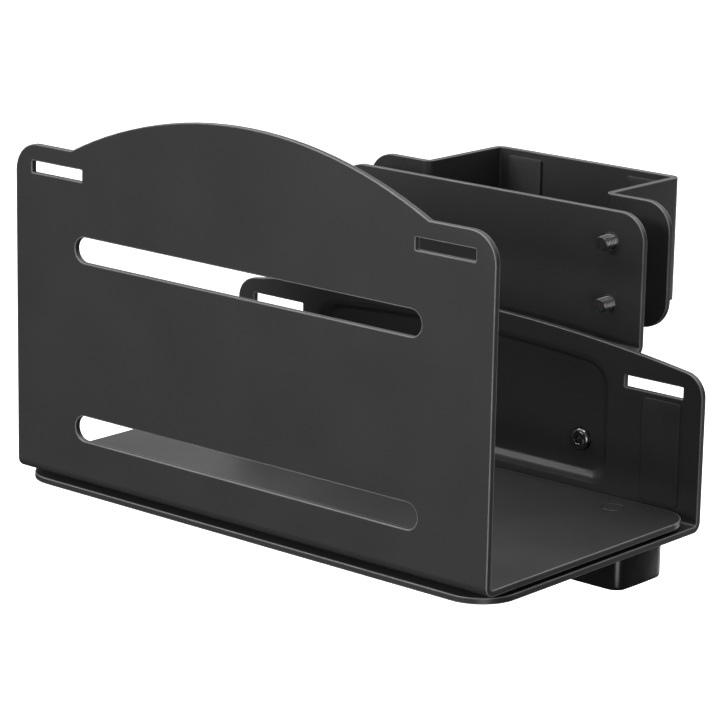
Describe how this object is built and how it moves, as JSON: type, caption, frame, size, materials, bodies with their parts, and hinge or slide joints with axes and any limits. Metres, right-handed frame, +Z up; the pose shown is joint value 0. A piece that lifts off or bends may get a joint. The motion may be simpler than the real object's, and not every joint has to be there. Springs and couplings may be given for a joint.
{
  "type": "under-desk computer holder",
  "caption": "Computer holder for a desk leg: two bent sheet brackets slide together as an open tray, locked by knobs under it and clamped to the leg by a Z shaped plate and a hat shaped yoke.",
  "frame": {"origin": "middle of the rubber face that the desk leg's front side bears on, half way between the two rows of clamp bolts", "axes": "+X from the tray's left end to its right end, +Y from the tray towards the desk leg, +Z up"},
  "size_m": [0.24, 0.2127, 0.1789],
  "materials": {
    "powder_coat_front": "satin dark grey powder coat",
    "powder_coat_rear": "satin dark grey powder coat",
    "powder_coat_clamp": "satin dark grey powder coat",
    "pad_rubber": "matt black",
    "pad_foam": "matt black foam rubber",
    "dark_steel": "dark plated",
    "plated_steel": "zinc plated",
    "black_steel": "glossy black oxide",
    "black_nylon": "matt",
    "knob_plastic": "gloss",
    "insert_brass": "machined"
  },
  "bodies": {
    "rear_frame": {"rear_bracket": "powder_coat_rear", "leg_plate": "powder_coat_clamp", "leg_pad": "pad_rubber", "rear_pad_left": "pad_foam", "rear_pad_right": "pad_foam", "clamp_nuts": "dark_steel", "tray_screws": "black_steel", "tray_nuts": "dark_steel"},
    "front_frame": {"front_bracket": "powder_coat_front", "front_pad_left": "pad_foam", "front_pad_right": "pad_foam", "slide_stud_left": "plated_steel", "slide_stud_right": "plated_steel", "slide_spacer_left": "black_nylon", "slide_spacer_right": "black_nylon"},
    "knob_assembly_left": {"knob_left": "knob_plastic", "knob_insert_left": "insert_brass", "knob_washer_left": "plated_steel"},
    "knob_assembly_right": {"knob_right": "knob_plastic", "knob_insert_right": "insert_brass", "knob_washer_right": "plated_steel"},
    "yoke_frame": {"leg_yoke": "powder_coat_clamp", "yoke_pad_left": "pad_rubber", "yoke_pad_right": "pad_rubber", "clamp_bolts": "dark_steel", "clamp_washers": "plated_steel"}
  },
  "joints": [
    {"name": "tray_width", "type": "slide", "parent": "rear_frame", "child": "front_frame", "axis": [0, -1, 0], "range_m": [0, 0.08]},
    {"name": "knob_turn_left", "type": "hinge", "parent": "front_frame", "child": "knob_assembly_left", "pos_m": [-0.0896, -0.0344, -0.1], "axis": [0, 0, 1], "continuous": true},
    {"name": "knob_turn_right", "type": "hinge", "parent": "front_frame", "child": "knob_assembly_right", "pos_m": [0.0896, -0.0344, -0.1], "axis": [0, 0, 1], "continuous": true},
    {"name": "leg_clamp", "type": "slide", "parent": "rear_frame", "child": "yoke_frame", "axis": [0, 1, 0], "range_m": [-0.0095, 0.006]}
  ]
}
